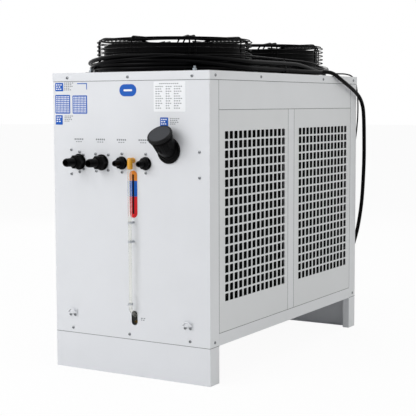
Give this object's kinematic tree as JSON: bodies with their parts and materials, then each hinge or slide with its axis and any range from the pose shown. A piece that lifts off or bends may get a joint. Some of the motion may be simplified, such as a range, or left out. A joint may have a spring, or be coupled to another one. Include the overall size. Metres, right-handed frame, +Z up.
{
  "type": "recirculating chiller",
  "caption": "Air-cooled recirculating chiller: white sheet-metal cabinet with side grilles, roof fans, hose fittings, filling neck and level tube.",
  "frame": {"origin": "On the floor, under the middle of the chiller's width and length without its free cables.", "axes": "X runs across the front face to the right as seen from the front, Y from the front to the back, Z up."},
  "size_m": [0.6305, 1.2368, 1.085],
  "materials": {
    "cabinet_paint": "fine satin powder coat",
    "black_paint": "semi-gloss black coat",
    "black_metal": "satin black",
    "fin_aluminium": "thin fins",
    "zinc_steel": "zinc plated",
    "black_plastic": "moulded",
    "black_rubber": "smooth sheath",
    "grey_plastic": "blow moulded",
    "amber_plastic": "translucent",
    "clear_plastic": "clear tube",
    "brass": "turned"
  },
  "bodies": {
    "cabinet": {"front_skirt": "cabinet_paint", "rear_skirt": "cabinet_paint", "base_tray": "cabinet_paint", "cabinet_frame": "cabinet_paint", "front_panel": "cabinet_paint", "rear_panel": "cabinet_paint", "top_cover": "cabinet_paint", "upper_panel_right": "cabinet_paint", "upper_panel_left": "cabinet_paint", "mullion_right": "cabinet_paint", "mullion_left": "cabinet_paint", "fan_duct_front": "black_paint", "fan_duct_rear": "black_paint", "fan_guard_front": "black_paint", "fan_guard_rear": "black_paint", "guard_rings_front": "black_paint", "guard_rings_rear": "black_paint", "fan_motor_front": "black_metal", "fan_motor_rear": "black_metal", "guard_bolts": "zinc_steel", "water_outlet_large": "black_plastic", "water_inlet_large": "black_plastic", "water_outlet_small": "black_plastic", "water_inlet_small": "black_plastic", "fill_neck": "black_plastic", "level_elbow": "amber_plastic", "level_tube": "clear_plastic", "tube_clips": "zinc_steel", "drain_valve": "brass", "lug_left": "cabinet_paint", "lug_right": "cabinet_paint", "condenser_right": "fin_aluminium", "condenser_left": "fin_aluminium", "water_tank": "grey_plastic", "compressor": "black_paint", "pump": "zinc_steel", "heat_exchanger": "zinc_steel", "filter_drier": "black_paint", "electrical_box": "zinc_steel", "controller": "black_plastic", "switch_base": "black_plastic", "power_gland": "black_plastic", "signal_gland": "black_plastic", "power_cable_coil": "black_rubber", "power_cable_run": "black_rubber", "signal_cable_run": "black_rubber"},
    "front_fan": {"fan_rotor_front": "black_metal"},
    "rear_fan": {"fan_rotor_rear": "black_metal"},
    "right_front_grille": {"grille_right_front": "cabinet_paint"},
    "right_rear_grille": {"grille_right_rear": "cabinet_paint"},
    "left_front_grille": {"grille_left_front": "cabinet_paint"},
    "left_rear_grille": {"grille_left_rear": "cabinet_paint"},
    "cap_seal": {"cap_gasket": "black_rubber"},
    "filler_cap": {"fill_cap": "black_plastic"},
    "drain_tap": {"drain_handle": "brass"},
    "main_switch": {"switch_knob": "black_plastic"},
    "first_key": {"key_1": "black_plastic"},
    "second_key": {"key_2": "black_plastic"},
    "third_key": {"key_3": "black_plastic"},
    "fourth_key": {"key_4": "black_plastic"}
  },
  "joints": [
    {"name": "fan_front_spin", "type": "hinge", "parent": "cabinet", "child": "front_fan", "pos_m": [0, -0.25706, 1.023], "axis": [0, 0, 1], "continuous": true},
    {"name": "fan_rear_spin", "type": "hinge", "parent": "cabinet", "child": "rear_fan", "pos_m": [0, 0.30094, 1.023], "axis": [0, 0, 1], "continuous": true},
    {"name": "right_front_grille_lift", "type": "slide", "parent": "cabinet", "child": "right_front_grille", "axis": [1, 0, 0], "range_m": [0, 0.05]},
    {"name": "right_rear_grille_lift", "type": "slide", "parent": "cabinet", "child": "right_rear_grille", "axis": [1, 0, 0], "range_m": [0, 0.05]},
    {"name": "left_front_grille_lift", "type": "slide", "parent": "cabinet", "child": "left_front_grille", "axis": [-1, 0, 0], "range_m": [0, 0.05]},
    {"name": "left_rear_grille_lift", "type": "slide", "parent": "cabinet", "child": "left_rear_grille", "axis": [-1, 0, 0], "range_m": [0, 0.05]},
    {"name": "cap_rise", "type": "slide", "parent": "cabinet", "child": "cap_seal", "axis": [0, -0.6293, 0.7771], "range_m": [0, 0.008]},
    {"name": "cap_turn", "type": "hinge", "parent": "cap_seal", "child": "filler_cap", "pos_m": [0.152, -0.54556, 0.729], "axis": [0, -0.6293, 0.7771], "range_deg": [0, 720]},
    {"name": "drain_tap_turn", "type": "hinge", "parent": "cabinet", "child": "drain_tap", "pos_m": [0.017, -0.52156, 0.176], "axis": [0, -1, 0], "range_deg": [0, 90]},
    {"name": "main_switch_turn", "type": "hinge", "parent": "cabinet", "child": "main_switch", "pos_m": [0.08, 0.59144, 0.8], "axis": [0, 1, 0], "range_deg": [0, 90]},
    {"name": "key_1_press", "type": "slide", "parent": "cabinet", "child": "first_key", "axis": [0, -1, 0], "range_m": [0, 0.001], "stiffness_N_per_m": 200},
    {"name": "key_2_press", "type": "slide", "parent": "cabinet", "child": "second_key", "axis": [0, -1, 0], "range_m": [0, 0.001], "stiffness_N_per_m": 200},
    {"name": "key_3_press", "type": "slide", "parent": "cabinet", "child": "third_key", "axis": [0, -1, 0], "range_m": [0, 0.001], "stiffness_N_per_m": 200},
    {"name": "key_4_press", "type": "slide", "parent": "cabinet", "child": "fourth_key", "axis": [0, -1, 0], "range_m": [0, 0.001], "stiffness_N_per_m": 200}
  ],
  "couplings": [
    {"joint": "cap_turn", "follows": "cap_rise", "rad_per_m": 1570.8}
  ]
}
